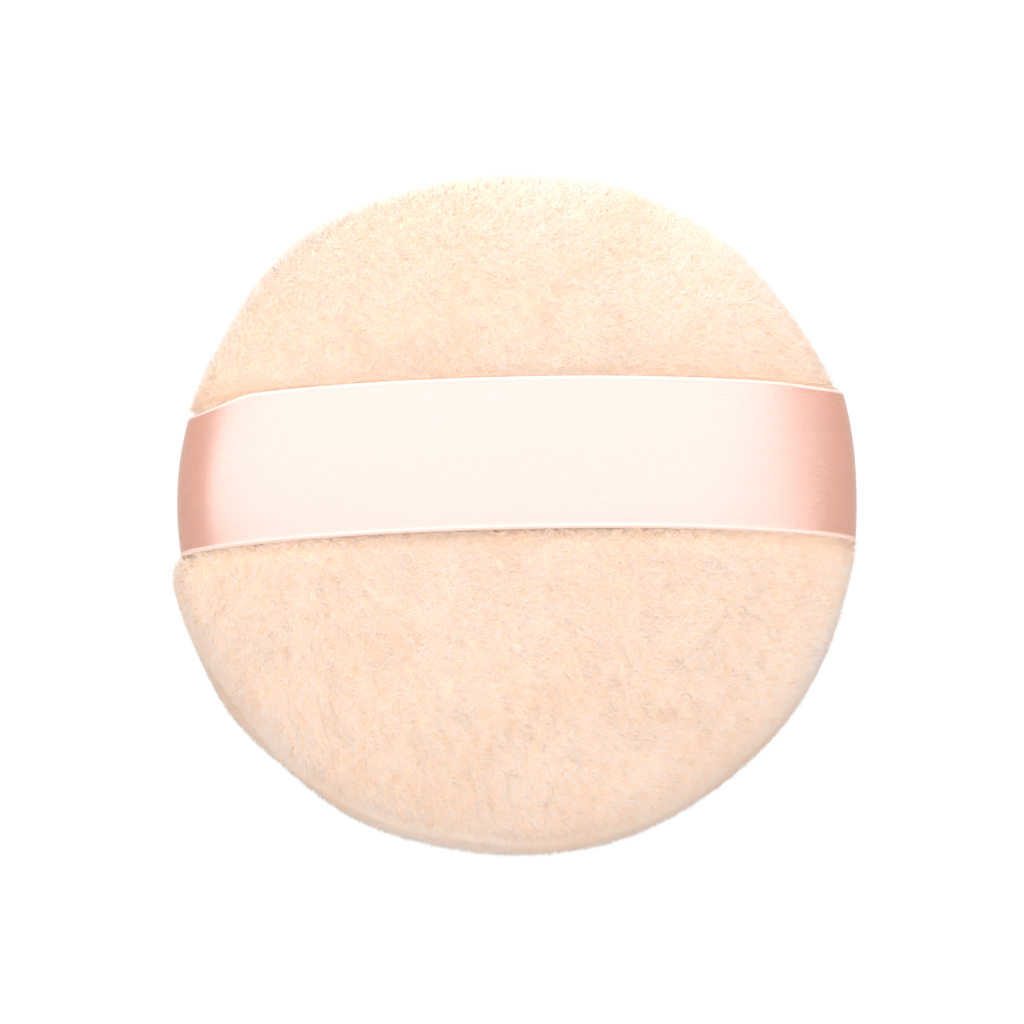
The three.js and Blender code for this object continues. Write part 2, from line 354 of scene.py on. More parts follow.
def satin_finish(colours, ribbon, run_length):
    """Satin: long floats run along the ribbon as fine streaks, with a firm selvedge at each edge; its paler colour
    is partly a painted highlight.
    """
    finish = Finish(bpy.data.materials.new("satin_weave"))
    run, turn = finish.mapped()
    half = ribbon.width / 2
    across = (1.0 - 2.0 * abs(2.0 * turn - 1.0)) * half
    edge = finish.step(abs(across), half - 1.3 * ribbon.selvedge, half - 0.7 * ribbon.selvedge)
    cloth = finish.node("CombineXYZ", {}, {0: run * run_length, 1: across})
    floats = finish.noise(finish.stretched(cloth, FLOAT_GRAIN), scale=1.0)
    slubs = finish.noise(finish.stretched(cloth, SLUB_GRAIN), scale=1.0)
    picks = finish.wave(cloth, "X", scale=620.0, distortion=0.6)
    streak = finish.step(0.7 * floats + 0.3 * slubs, 0.3, 0.7)
    body = finish.mix(streak, shaded(colours.satin, 0.96), shaded(colours.satin, 1.03))
    height = 0.6 * floats + 0.2 * slubs + edge * picks
    return finish.principled(
        # The selvedge's paler colour is partly a painted highlight
        Base_Color=finish.mix(edge, body, colours.selvedge),
        Roughness=0.18 + 0.11 * floats + 0.05 * slubs + 0.25 * edge,
        IOR=1.94,
        Specular_IOR_Level=1.0,
        Specular_Tint=(0.96, 0.9, 0.97),
        Coat_Weight=0.3,
        Coat_IOR=1.6,
        Coat_Roughness=0.25,
        Normal=finish.bump(height, strength=0.09, distance=0.00004),
    )


def foam_finish(colours):
    """Sponge: open cells in the colour and the bump."""
    finish = Finish(bpy.data.materials.new("sponge_foam"))
    cells = finish.cells(finish.place(), scale=1500.0)
    return finish.principled(
        Base_Color=finish.mix(finish.step(cells, 0.1, 0.6), shaded(colours.foam, 0.7), colours.foam),
        Roughness=0.95 - 0.1 * cells,
        Specular_IOR_Level=0.2,
        Normal=finish.bump(cells, strength=0.8, distance=0.0003),
    )


def thread_finish(colours):
    """Sewing thread: fine twisted plies in the colour and the bump."""
    finish = Finish(bpy.data.materials.new("sewing_thread"))
    twist = finish.wave(finish.place(), "DIAGONAL", scale=1100.0, distortion=1.5)
    return finish.principled(
        Base_Color=finish.mix(twist, shaded(colours.thread, 0.8), colours.thread),
        Roughness=0.55 + 0.15 * twist,
        Normal=finish.bump(twist, strength=0.6, distance=0.00005),
    )


WHITE, FLOOR_GLOW = (1, 1, 1, 1), 1.045


def floor_finish(colours, stage):
    """Table: a pale matt top that the camera sees as mostly plain white, with the soft shadow kept."""
    finish = Finish(bpy.data.materials.new("table_top"))
    grain = finish.noise(finish.place(), scale=60.0)
    paint = finish.mix(grain, colours.floor, shaded(colours.floor, 1.02))
    matt = finish.node("BsdfDiffuse", {}, {"Color": paint})
    white = finish.node("Emission", {}, {"Color": WHITE, "Strength": FLOOR_GLOW})
    both = finish.node("MixShader", {}, {0: stage.floor_white * finish.seen(), 1: matt, 2: white})
    finish.node("OutputMaterial", {}, {"Surface": both})
    return finish.owner


def studio_world(stage):
    """Even white light from all round at the fill's strength, which is seen as plain white."""
    finish = Finish(bpy.data.worlds.new("studio"))
    strength = stage.fill + (1.0 - stage.fill) * finish.seen()
    light = finish.node("Background", {}, {"Color": WHITE, "Strength": strength})
    finish.node("OutputWorld", {}, {"Surface": light})
    return finish.owner


# Meshes from arrays

def mesh_object(name, points, faces, material):
    """An object at the origin from an array of points and an array of triangles."""
    mesh = bpy.data.meshes.new(name)
    mesh.vertices.add(len(points))
    mesh.vertices.foreach_set("co", np.ascontiguousarray(points, np.float32).ravel())
    mesh.loops.add(faces.size)
    mesh.loops.foreach_set("vertex_index", np.ascontiguousarray(faces, np.int32).ravel())
    mesh.polygons.add(len(faces))
    mesh.polygons.foreach_set("loop_start", np.arange(0, faces.size, faces.shape[1], dtype=np.int32))
    mesh.polygons.foreach_set("use_smooth", np.ones(len(faces), bool))
    mesh.update(calc_edges=True)
    if mesh.validate():
        raise RuntimeError(f"{name} has faces that aren't valid")
    mesh.materials.append(material)
    made = bpy.data.objects.new(name, mesh)
    bpy.context.scene.collection.objects.link(made)
    return made


def map_onto(made, faces, spot):
    """Gives an object the strand map, from a place on it for each point."""
    layer = made.data.uv_layers.new(name=STRAND_MAP)
    layer.uv.foreach_set("vector", spot[faces.ravel()].astype(np.float32).ravel())
    return made


def circle(spokes):
    """Even steps of an angle round the circle."""
    return np.linspace(0, 2 * np.pi, spokes, endpoint=False)


def halved(a, b, c, d):
    """Two triangles for each four-sided face, from arrays of its corners in order."""
    return np.concatenate([np.stack(corners, -1).reshape(-1, 3) for corners in ((a, b, c), (a, c, d))])


def turned_faces(rings, spokes):
    """Triangles of a closed form that has a pole, then rings of spokes points each, then another pole."""
    spoke = np.arange(spokes)
    ahead = (spoke + 1) % spokes
    base = 1 + np.arange(rings - 1)[:, None] * spokes
    first, second = (base + spoke).ravel(), (base + ahead).ravel()
    last = 1 + (rings - 1) * spokes
    start = np.stack([np.zeros(spokes, int), 1 + spoke, 1 + ahead], 1)
    end = np.stack([np.full(spokes, last + spokes), last + ahead, last + spoke], 1)
    return np.concatenate([start, halved(first, first + spokes, second + spokes, second), end])


def turned_points(rows):
    """Points of rows that begin and end in a pole: one point for each pole, and every point of the rings between."""
    return np.concatenate([rows[0, :1], rows[1:-1].reshape(-1, 3), rows[-1, :1]])


def outward(made):
    """Turns the faces of a closed form outwards."""
    work = bmesh.new()
    work.from_mesh(made.data)
    bmesh.ops.recalc_face_normals(work, faces=work.faces)
    work.to_mesh(made.data)
    work.free()
    return made


def turned_object(name, rows, material):
    """A closed form from rows that begin and end in a pole, with its faces turned outwards."""
    return outward(mesh_object(name, turned_points(rows), turned_faces(len(rows) - 2, rows.shape[1]), material))


# The pad's shape

def smoothstep(value, low, high):
    """Rises from 0 at low to 1 at high along three t squared less two t cubed."""
    t = np.clip((value - low) / (high - low), 0, 1)
    return t * t * (3 - 2 * t)


def between(first, second, part):
    """The point that is part of the way from first to second."""
    return first + (second - first) * part


def unit(ways):
    """Directions of length 1."""
    return ways / np.linalg.norm(ways, axis=-1, keepdims=True)


def along_cloth(ways, up):
    """Directions less their parts along the cloth's normals."""
    return ways - up * (ways * up).sum(1, keepdims=True)


WAVE_SPREAD = (0.7, 1.3)


def waves(points, wavelength, count, seed):
    """A smooth random field and its slope: the mean of count cosines, each along its own direction in space."""
    rng = np.random.default_rng(seed)
    ways = rng.normal(size=(count, 3))
    spread = rng.uniform(*WAVE_SPREAD, (count, 1))
    ways *= (2 * np.pi / wavelength) * spread / np.linalg.norm(ways, axis=1, keepdims=True)
    phase = points @ ways.T + rng.uniform(0, 2 * np.pi, count)
    scale = math.sqrt(2 / count)
    return scale * np.cos(phase).sum(1), -scale * np.sin(phase) @ ways


def ribbon_line(x, pad, ribbon):
    """Middle of the ribbon in plan: its offset, and its bow times one less the square of x over the pad's radius."""
    part = np.clip(x / pad.radius, -1, 1)
    return ribbon.offset + ribbon.bow * (1 - part**2)


CORNER_START, EASED_PINCH, EASED_SHARE = 0.8, 0.5, 0.9


def ribbon_half(x, above, pad, ribbon):
    """Half width of the ribbon in plan: above its middle line it narrows to each end, where its corner is drawn in."""
    corner = smoothstep(np.abs(x) / pad.radius, CORNER_START, 1.0)
    tuck = np.where(x < 0, ribbon.left_tuck, ribbon.right_tuck) * corner
    return ribbon.width / 2 - tuck * above


def ribbon_hold(x, y, slope, pad, ribbon):
    """How fully the ribbon bears on the pad in plan: 1 under it and 0 past its slope, along a smooth step."""
    away = y - ribbon_line(x, pad, ribbon)
    edge = ribbon_half(x, away > 0, pad, ribbon) + ribbon.margin
    return 1 - smoothstep(np.abs(away), edge, edge + slope)


def held(points, parting, pad, ribbon):
    """Moves points of the plain pad to where the taut ribbon holds them: pressed down on the crown, drawn in at the
    rim, and parted at the seam by the ribbon's tail, each times the hold at that place in plan."""
    x, y, z = np.moveaxis(points, -1, 0)
    hold = ribbon_hold(x, y, ribbon.slope, pad, ribbon)
    upper_left = (x < 0) & (y > ribbon_line(x, pad, ribbon))
    pinch = ribbon_hold(x, y, ribbon.pinch * np.where(upper_left, EASED_PINCH, 1.0), pad, ribbon)
    pinch = between(pinch, ribbon_hold(x, y, ribbon.ease, pad, ribbon), EASED_SHARE * upper_left)
    height = z - pad.seam_height
    near = 1 - smoothstep(np.abs(height), ribbon.parting_start, ribbon.parting_start + ribbon.parting_reach)
    raised = smoothstep(height, pad.rim_rise, pad.thickness - pad.seam_height)
    rim = smoothstep(np.hypot(x, y), pad.radius - ribbon.draw_reach, pad.radius)
    z = z + pinch * parting * ribbon.parting * near - hold * ribbon.press * raised
    draw_in = np.where(x < 0, -ribbon.draw_left, ribbon.draw_right)
    return np.stack([x - pinch * rim * draw_in, y, z], -1)


def dome(part, fullness):
    """Height of the dome as a share of its rise: one less part to the power of fullness, to its root."""
    return np.maximum(0, 1 - part**fullness) ** (1 / fullness)


def fullness_at(across, pad):
    """Power of the dome's profile at a share of the radius from left to right; the right end slopes off sooner."""
    return pad.fullness * (1 - pad.lopsided * across)


DOME_PART, TABLE_LIFT = 0.8, 0.6
FLAT_TURN, FLAT_SPREAD = math.radians(222), math.radians(18)


def panel_surface(way, turn, side, depth, pad, ribbon):
    """One face of a velour panel on the plain pad, from its pole at way 0 to the seam at way 1, round by turn. Up to
    DOME_PART the radius follows the sine of an even angle and the height the dome; then a quarter of an ellipse rolls
    in to the seam. A bell curve of turn flattens the rim at the lower left. Side is 1 for the back and -1 for the face,
    and depth is below the tips of the pile."""
    way, turn = np.broadcast_arrays(way, turn)
    rim = pad.seam_height + side * pad.rim_rise
    crown = pad.thickness if side > 0 else -pad.rest_cut
    part = np.sin(np.minimum(way / DOME_PART, 1) * np.pi / 2)
    roll = np.clip((way - DOME_PART) / (1 - DOME_PART), 0, 1) * np.pi / 2
    tuck = pad.seam_tuck - 0.5 * depth
    flat = pad.flat * np.exp(-((turn - FLAT_TURN) ** 2) / FLAT_SPREAD ** 2)
    radius = (pad.radius - flat - depth) * part - tuck * (1 - np.cos(roll))
    height = rim + (crown - side * depth - rim) * dome(part, fullness_at(part * np.cos(turn), pad))
    height = np.where(way > DOME_PART, between(rim, pad.seam_height, np.sin(roll)), height)
    if side < 0:
        height = np.maximum(height, TABLE_LIFT * depth)
    points = np.stack([radius * np.cos(turn), radius * np.sin(turn), height], -1)
    return held(points, side, pad, ribbon)


def polar(rings, spokes):
    """Even steps of way from 0 to 1 and of turn round the circle, as a grid."""
    return np.linspace(0, 1, rings)[:, None], circle(spokes)[None, :]


def surface_normals(points, side=1):
    """Unit normals of a polar grid: its step outwards crossed with its step round, turned over for a face below."""
    out = np.gradient(points, axis=0)
    round_it = np.roll(points, -1, 1) - np.roll(points, 1, 1)
    normal = np.cross(out, round_it)
    normal[0] = normal[1].mean(0)
    return side * normal / np.maximum(np.linalg.norm(normal, axis=-1, keepdims=True), 1e-12)


def finer(field, rings, spokes):
    """A field on a coarse polar grid, taken to a finer one by straight lines along each way and round the circle."""
    place = np.linspace(0, len(field) - 1, rings)
    start = np.minimum(place.astype(int), len(field) - 2)
    along = between(field[start], field[start + 1], (place - start)[:, None, None])
    place = np.arange(spokes) * field.shape[1] / spokes
    start = place.astype(int)
    return between(along[:, start], along[:, (start + 1) % field.shape[1]], (place - start)[:, None])


def round_about(field, reach):
    """A polar field turned by each number of steps up to reach, either way."""
    return [np.roll(field, step, 1) for step in range(-reach, reach + 1)]


SWELL_RINGS, SWELL_SPOKES, SWELL_SCALE, SWELL_FRAMES = 25, 72, 10.0, 20
SWELL_PRESSURE, SWELL_QUALITY, SWELL_MEDIAN, SWELL_MEAN = 4.0, 6, 2, 3
SEAM_PIN, REST_LOW, REST_HIGH, PIN_LEVELS = 1.2, 0.7, 1.6, 16


def swollen_cover(pad, pile, ribbon):
    """Moves of both ground cloths when the stuffing fills them, on coarse polar grids. The cover is one closed cloth,
    pinned along the seam, under the ribbon and where it rests, and blown up for a few frames at SWELL_SCALE times its
    size. Each move is then the middle one of five round the circle, which takes out single wrinkles, and the mean of
    seven of those."""
    way, turn = polar(SWELL_RINGS, SWELL_SPOKES)
    back = panel_surface(way, turn, 1, pile.depth, pad, ribbon)
    face = panel_surface(way, turn, -1, pile.depth, pad, ribbon)
    rows = np.concatenate([back, face[-2::-1]])
    points = turned_points(rows)
    cover = turned_object("cover_try", rows * SWELL_SCALE, None)
    on_seam = np.abs(points[:, 2] - pad.seam_height) < SEAM_PIN * pad.rim_rise
    above = points[:, 2] > pad.seam_height
    firm = above * ribbon_hold(points[:, 0], points[:, 1], ribbon.pinch, pad, ribbon)
    rest = 1 - smoothstep(points[:, 2], REST_LOW * pile.depth, REST_HIGH * pile.depth)
    pinned = np.maximum(np.maximum(on_seam, firm), rest)
    group = cover.vertex_groups.new(name="sewn")
    pinned = np.round(pinned * PIN_LEVELS) / PIN_LEVELS
    for level in np.unique(pinned)[1:]:
        group.add(np.flatnonzero(pinned == level).tolist(), float(level), "REPLACE")
    cloth = cover.modifiers.new("stuffing", "CLOTH")
    cloth.settings.quality = SWELL_QUALITY
    cloth.settings.use_pressure = True
    cloth.settings.uniform_pressure_force = SWELL_PRESSURE
    cloth.settings.vertex_group_mass = "sewn"
    cloth.settings.effector_weights.gravity = 0.0
    cloth.collision_settings.use_collision = False
    cloth.point_cache.frame_start, cloth.point_cache.frame_end = 1, SWELL_FRAMES
    for step in range(1, SWELL_FRAMES + 1):
        bpy.context.scene.frame_set(step)
    swollen = cover.evaluated_get(bpy.context.evaluated_depsgraph_get())
    moved = np.empty(len(points) * 3, np.float32)
    swollen.data.vertices.foreach_get("co", moved)
    bpy.context.scene.frame_set(1)
    shift = moved.reshape(-1, 3) / SWELL_SCALE - points
    bpy.data.objects.remove(cover)
    size = np.linalg.norm(shift, axis=1, keepdims=True)
    shift *= np.minimum(1, pad.swell_cap / np.maximum(size, 1e-9))
    rings = shift[1:-1].reshape(len(rows) - 2, SWELL_SPOKES, 3)
    first, last = (np.broadcast_to(pole, (1, SWELL_SPOKES, 3)) for pole in (shift[0], shift[-1]))
    whole = np.concatenate([first, rings, last])
    whole = np.median(round_about(whole, SWELL_MEDIAN), axis=0)
    whole = np.mean(round_about(whole, SWELL_MEAN), axis=0)
    return whole[:SWELL_RINGS], whole[SWELL_RINGS - 1:][::-1]


GROUND_RINGS, GROUND_SPOKES, INNER_PART = 120, 288, 0.9
FREE_PART, RIBBON_SMOOTHS = 0.85, 0.8
swell = {}


def ground_surface(side, pad, pile, ribbon):
    """Outer side of a panel's ground cloth: the panel surface one pile depth down, with the stuffing's swell and a soft
    random waviness along its normal that fades at the seam."""
    if not swell:
        swell[1], swell[-1] = swollen_cover(pad, pile, ribbon)
    way, turn = polar(GROUND_RINGS, GROUND_SPOKES)
    points = panel_surface(way, turn, side, pile.depth, pad, ribbon)
    if swell:
        points = points + finer(swell[side], GROUND_RINGS, GROUND_SPOKES)
    rough, _ = waves(points.reshape(-1, 3), wavelength=0.016, count=12, seed=5 + side)
    free = 1 - smoothstep(way, FREE_PART, 1.0)
    if side > 0:
        free = free * (1 - RIBBON_SMOOTHS * ribbon_hold(points[..., 0], points[..., 1], ribbon.pinch, pad, ribbon))
    lift = (pad.unevenness * rough.reshape(points.shape[:2]) * free)[..., None]
    points = points + lift * surface_normals(points, side)
    if side < 0:
        points[..., 2] = np.maximum(points[..., 2], TABLE_LIFT * pile.depth)
    return points


def ground_panel(name, outer, side, pad, material):
    """A closed panel of ground cloth: its outer side, the allowance turned in flat along the seam and back, and the
    inner side one cloth thickness down."""
    inner = outer - pad.cloth * surface_normals(outer, side)
    seam = outer[-1]
    radius = np.hypot(seam[:, 0], seam[:, 1])[:, None]
    flat = seam[:, :2] / radius
    tip = np.concatenate([flat * (radius - pad.allowance), seam[:, 2:]], 1)
    lifted = tip + np.array([0, 0, side * pad.cloth])
    back_in = np.concatenate([flat * (radius - 2 * pad.cloth), seam[:, 2:] + side * pad.cloth], 1)
    inner = inner[: int(INNER_PART * GROUND_RINGS)]
    rows = np.concatenate([outer, tip[None], lifted[None], back_in[None], inner[::-1]])
    return turned_object(name, rows, material)


# Pile

RIM_START, RIM_FULL, BACK_CLOSER, FACE_CLOSER = 0.68, 0.82, 1.0, 2.0


def sprouted(grid, side, count, rng):
    """Roots, normals and ways along the panel of strands spread over a polar grid, two or three times as close at the
    rim as on the crown: even steps along the summed area of its cells, each shaken by less than a step, and a random
    place inside the cell."""
    normal = surface_normals(grid, side)
    beside, beside_normal = np.roll(grid, -1, 1), np.roll(normal, -1, 1)
    cross = np.cross(grid[1:] - grid[:-1], beside[:-1] - grid[:-1])
    other = np.cross(beside[1:] - grid[1:], beside[1:] - beside[:-1])
    area = np.linalg.norm(cross, axis=-1) + np.linalg.norm(other, axis=-1)
    rim = smoothstep(np.linspace(0, 1, len(area)), RIM_START, RIM_FULL)[:, None]
    area = (area * (1 + (BACK_CLOSER if side > 0 else FACE_CLOSER) * rim)).ravel()
    total = np.cumsum(area)
    cell = np.searchsorted(total, (np.arange(count) + rng.uniform(0, 1, count)) / count * total[-1])
    cell = np.minimum(cell, len(area) - 1)
    ring, spoke = np.divmod(cell, grid.shape[1])
    u, v = rng.uniform(0, 1, (2, count, 1))

    def blended(field, following):
        near, far = (between(field[row, spoke], following[row, spoke], v) for row in (ring, ring + 1))
        return between(near, far, u)

    root, up = blended(grid, beside), blended(normal, beside_normal)
    return root, unit(up), (ring + u[:, 0]) / (len(grid) - 1)


# The lay of the pile: parts of a strand's direction, lengths past the ribbon's edge, and parts of a strand's length
NAP_HEADING, NAP_SWIRL = math.radians(-40), 0.5
OWN_PART, LAID_PART, LEANT_PART, OPEN_PART = 0.577, 0.9, 0.5, 0.6
OPEN_LOW, OPEN_HIGH, OPEN_STIFF = 0.1, 1.6, 0.7
UNDER, BESIDE_RISE, BESIDE_FALL = (-0.0004, 0.0003), (-0.0002, 0.0001), (0.0002, 0.0018)
LENGTHS, LEAST_RISE, LAID_LESS, BESIDE_MORE, OPEN_LESS = (0.94, 1.16), 0.5, 0.15, 0.6, 0.25
EDGE_CLEAR, TABLE_CLEAR, ROOT_DEPTH, TUFT_PERCENT = 0.00006, 0.00005, 0.00012, 90
SKY, BACK_SKY, RIM_OUT = np.array((0.0, 0.0, 1.0)), 0.7, 0.5


def strand_lines(grid, side, count, seed, pad, pile, ribbon):
    """Root and tip of every strand of a panel's pile. A strand stands on the cloth's normal, leans along the nap and by
    its own chance. On the roll it reaches out as far as the panel's widest ring does, so that the pile of both panels
    closes over the seam. Tips draw together in tufts along a random field's slope. Under the ribbon the pile lies over
    along it; beside it the pile stands taller and leans on its edge, and no tip crosses that."""
    rng = np.random.default_rng(seed)
    root, up, part = sprouted(grid, side, count, rng)
    swirl, _ = waves(root, wavelength=0.03, count=8, seed=11)
    heading = NAP_HEADING + NAP_SWIRL * swirl
    zero = np.zeros(count)
    nap = along_cloth(np.stack([np.cos(heading), np.sin(heading), zero], 1), up)
    own = along_cloth(rng.normal(size=(count, 3)), up)
    level = root[:, 2] - pad.seam_height
    open_out = (1 - smoothstep(np.abs(level), OPEN_LOW * pad.rim_rise, OPEN_HIGH * pad.rim_rise))[:, None]
    plan = unit(root * (1, 1, 0))
    away = root[:, 1] - ribbon_line(root[:, 0], pad, ribbon)
    half = ribbon_half(root[:, 0], away > 0, pad, ribbon)
    past = np.abs(away) - half
    under = ((1 - smoothstep(past, *UNDER)) * (level > 0))[:, None]
    along = along_cloth(np.stack([np.where(root[:, 0] < 0, -1.0, 1.0), zero, zero], 1), up)
    beside = (smoothstep(past, *BESIDE_RISE) * (1 - smoothstep(past, *BESIDE_FALL)) * (level > 0))[:, None]
    toward = np.stack([zero, -np.sign(away), zero], 1)
    loose = 1 - OPEN_STIFF * open_out
    way = up + (1 - under) * (1 - beside) * loose * pile.lean * nap + OWN_PART * pile.jitter * loose * own
    way += LAID_PART * under * along + LEANT_PART * beside * toward
    way = unit(way + OPEN_PART * open_out * plan)
    rise = np.maximum(LEAST_RISE, (way * up).sum(1, keepdims=True))
    reach = pile.depth * rng.uniform(*LENGTHS, (count, 1)) / rise
    widest = grid[round(DOME_PART * (len(grid) - 1))]
    turn = np.arctan2(widest[:, 1], widest[:, 0])
    order = np.argsort(turn)
    full = np.interp(np.arctan2(root[:, 1], root[:, 0]), turn[order], np.hypot(*widest[order, :2].T))
    short = np.where(part > DOME_PART, np.maximum(0, full - np.hypot(root[:, 0], root[:, 1])), 0)[:, None]
    taller = BESIDE_MORE - OPEN_LESS * open_out
    tip = root + way * reach * (1 - LAID_LESS * under + taller * beside) + plan * short * (1 - under)
    _, slope = waves(root, wavelength=0.0014, count=20, seed=23)
    slope = along_cloth(slope, up)
    slope /= np.percentile(np.linalg.norm(slope, axis=1), TUFT_PERCENT)
    tip += pile.gather * slope * (1 - under) * loose
    if side > 0:
        gone = tip[:, 1] - ribbon_line(tip[:, 0], pad, ribbon)
        clear = half + EDGE_CLEAR
        crossing = (past >= 0) & (np.abs(gone) < clear) & (tip[:, 2] > pad.seam_height)
        tip[:, 1] += np.where(crossing, np.sign(away) * clear - gone, 0)
    tip[:, 2] = np.maximum(tip[:, 2], TABLE_CLEAR)
    light = between(up + BACK_SKY * max(side, 0) * SKY, RIM_OUT * plan + SKY, open_out)
    return root - ROOT_DEPTH * up, tip, unit(light)


# The shade of the pile: its level, the weights of what changes it, and where that begins and ends
SHADE_LEVEL, SHADE_BROAD, SHADE_FLECK, SHADE_OWN = 0.62, 0.1, 0.1, 0.12
# The weights for the rim and for the ribbon's edges are painted shade
SHADE_DEEP, SHADE_RIM_PAINTED, SHADE_EDGE_PAINTED = 0.4, 0.4, 0.6
DEEP, EDGE_SHADE_SPAN, PAINTED_RIM_LOW, PAINTED_RIM_HIGH = (0.7, 1.7), (0.0003, 0.0014), 0.5, 1.8
FLECK_STRETCH, SHADE_LIMITS = (1.0, 0.7, 1.0), (0.02, 0.98)


def strand_shades(root, seed, pad, ribbon):
    """Shade of each strand from 0 to 1: broad patches, small flecks and its own chance, deeper where the flecks' field
    is lowest. It is also made deeper round the rim and beside the ribbon's edges, which is painted shade."""
    rng = np.random.default_rng(seed)
    away = root[:, 1] - ribbon_line(root[:, 0], pad, ribbon)
    past = np.abs(away) - ribbon_half(root[:, 0], away > 0, pad, ribbon)
    # Painted shade: strands beside the ribbon's edges are made deeper, for the ribbon's contact shadow
    edge_painted_shade = (1 - smoothstep(np.abs(past), *EDGE_SHADE_SPAN)) * (root[:, 2] > pad.seam_height)
    broad, _ = waves(root, wavelength=0.012, count=10, seed=31)
    fleck, _ = waves(root * FLECK_STRETCH, wavelength=0.0011, count=16, seed=37)
    deep = smoothstep(-fleck, *DEEP)
    level = np.abs(root[:, 2] - pad.seam_height)
    # Painted shade: strands round the rim are made deeper, for the shade that falls there
    rolled = 1 - smoothstep(level, PAINTED_RIM_LOW * pad.rim_rise, PAINTED_RIM_HIGH * pad.rim_rise)
    own = rng.normal(size=len(root))
    shade = SHADE_LEVEL + SHADE_BROAD * broad + SHADE_FLECK * fleck + SHADE_OWN * own
    shade = shade - SHADE_DEEP * deep - SHADE_RIM_PAINTED * rolled - SHADE_EDGE_PAINTED * edge_painted_shade
    return np.clip(shade, *SHADE_LIMITS)


STRAND_OWN_LIGHT, WIDTHS, UPRIGHT = 0.6, (0.75, 1.25), 0.9
STRAND_CORNERS = np.array([[0, 1, 3], [1, 2, 3], [2, 0, 3], [0, 2, 1]])
MAP_ALONG, MAP_ASIDE = (0.01, 0.02, 0.01, 0.99), (-0.004, 0.0, 0.004, 0.0)


def strand_piece(name, root, tip, up, shade, width, seed, material):
    """Strands as slim closed spikes: three corners round the root, square to the strand, and its tip. They take light
    mostly as the cloth under them does, so their normals are the cloth's and a part of their own. The map runs from
    root to tip one way and by shade the other."""
    rng = np.random.default_rng(seed)
    count = len(root)
    way = unit(tip - root)
    aside = unit(np.cross(way, np.where(np.abs(way[:, 2:]) < UPRIGHT, (0.0, 0.0, 1.0), (1.0, 0.0, 0.0))))
    third = np.cross(way, aside)
    angle = rng.uniform(0, 2 * np.pi, (count, 1)) + np.arange(3) * 2 * np.pi / 3
    size = width * rng.uniform(*WIDTHS, (count, 1, 1))
    out = np.cos(angle)[..., None] * aside[:, None] + np.sin(angle)[..., None] * third[:, None]
    points = np.concatenate([root[:, None] + size * out, tip[:, None]], 1).reshape(-1, 3)
    faces = (4 * np.arange(count)[:, None, None] + STRAND_CORNERS).reshape(-1, 3)
    made = mesh_object(name, points, faces, material)
    light = unit(up[:, None] + STRAND_OWN_LIGHT * np.concatenate([out, way[:, None]], 1))
    made.data.normals_split_custom_set_from_vertices(light.reshape(-1, 3))
    spot = np.stack([np.broadcast_to(MAP_ALONG, (count, 4)), shade[:, None] + MAP_ASIDE], -1)
    return map_onto(made, faces, spot.reshape(-1, 2))


LINE_SEED, SHADE_SEED, PIECE_SEED, PROUD_SEED, MIX_SEED = 40, 50, 60, 80, 90
NEAR_CROWN, FAR_CROWN, PAST_RIBBON, LEAST_CHANCE = (0.9, 2.4), (1.0, 3.2), (0.0004, 0.003), 0.002


def velour_panel(side, prefix, node, pieces, settings):
    """A velour panel: its ground cloth, which stands for the CAD node, and its pile in several pieces."""
    pad, pile, ribbon = settings.pad, settings.pile, settings.ribbon
    grid = ground_surface(side, pad, pile, ribbon)
    ground = ground_panel(f"{prefix}_velour", grid, side, pad, ground_finish(settings.colours))
    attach(ground, "pad")
    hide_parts(node)
    counts = [pile.proud] + [pile.strands] * pieces
    root, tip, up = strand_lines(grid, side, sum(counts), LINE_SEED + side, pad, pile, ribbon)
    shade = strand_shades(root, SHADE_SEED + side, pad, ribbon)
    material = bpy.data.materials.get("velour_pile") or pile_finish(settings.colours)
    past = np.abs(root[:, 1] - ribbon_line(root[:, 0], pad, ribbon)) - ribbon.width / 2
    rise = np.abs(root[:, 2] - pad.seam_height) / pad.rim_rise
    crown = np.where(root[:, 1] < 0, smoothstep(rise, *NEAR_CROWN), smoothstep(rise, *FAR_CROWN))
    crown = crown * smoothstep(past, *PAST_RIBBON)
    chance = np.random.default_rng(PROUD_SEED + side).uniform(0, 1, len(root))
    mixed = np.argsort(chance / (crown + LEAST_CHANCE))
    mixed[pile.proud:] = np.random.default_rng(MIX_SEED + side).permutation(mixed[pile.proud:])
    for number, some in enumerate(np.split(mixed, np.cumsum(counts)[:-1])):
        name, seed = f"{prefix}_pile_{number + 1}", PIECE_SEED + number
        piece = strand_piece(name, root[some], tip[some], up[some], shade[some], pile.width, seed, material)
        piece.visible_shadow = number == 0
        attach(piece, "pad")
    return ground


# Ribbon

RIBBON_DOME, RIBBON_ROLL = 0.72, 0.88
RIBBON_STEPS, RIBBON_ACROSS, RIBBON_ROUND, SELVEDGE_BEAD = 420, 44, 5, 0.25
RIPPLE, RIPPLE_LEAST, RIPPLE_START, RIPPLE_STRETCH = 0.00008, 0.3, (0.4, 0.62), (1.0, 0.35, 1.0)


